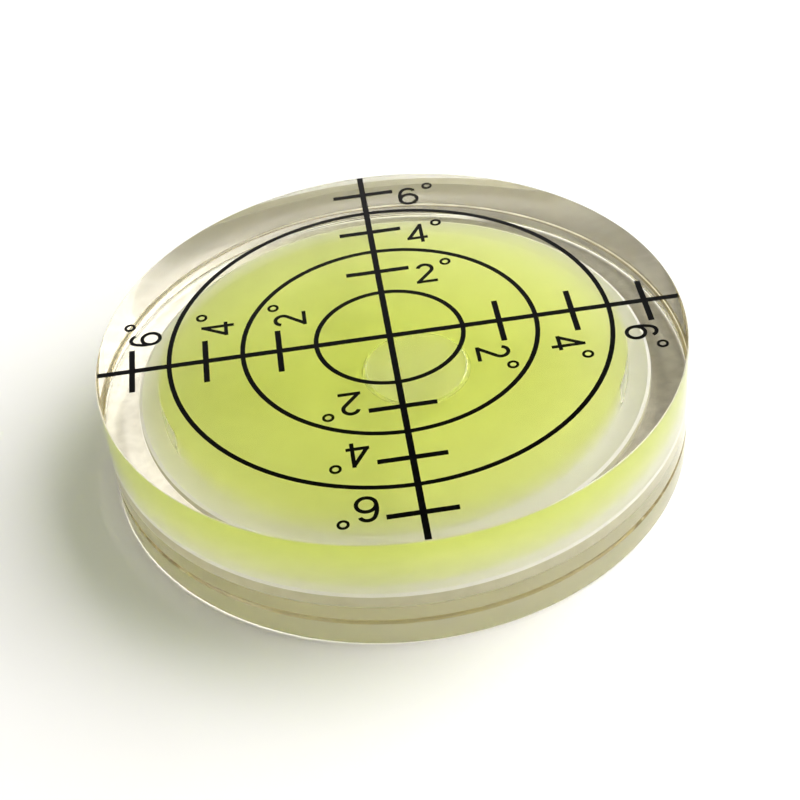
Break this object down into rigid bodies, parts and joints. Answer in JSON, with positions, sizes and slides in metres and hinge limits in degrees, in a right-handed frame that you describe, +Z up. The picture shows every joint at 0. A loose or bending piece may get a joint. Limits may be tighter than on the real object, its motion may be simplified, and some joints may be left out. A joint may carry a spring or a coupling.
{
  "type": "bullseye level",
  "caption": "Round clear acrylic level: a bubble in tinted liquid under a domed roof shows tilt against printed rings and degree marks.",
  "frame": {"origin": "centre of the flat underside of the base plate", "axes": "+Z up through the middle of the dial, +X and +Y along two arms of the printed cross"},
  "size_m": [0.06, 0.06, 0.0131],
  "materials": {
    "clear_acrylic": "polished clear acrylic with a faint straw tint",
    "cement": "thin dried solvent cement, slightly brown at its edge",
    "green_liquid": "transparent yellow-green spirit",
    "black_ink": "printed black ink, satin"
  },
  "bodies": {
    "root": {"body": "clear_acrylic", "base_plate": "clear_acrylic", "cement_film": "cement", "liquid": "green_liquid", "printed_lines": "black_ink", "printed_numerals": "black_ink"}
  },
  "joints": []
}
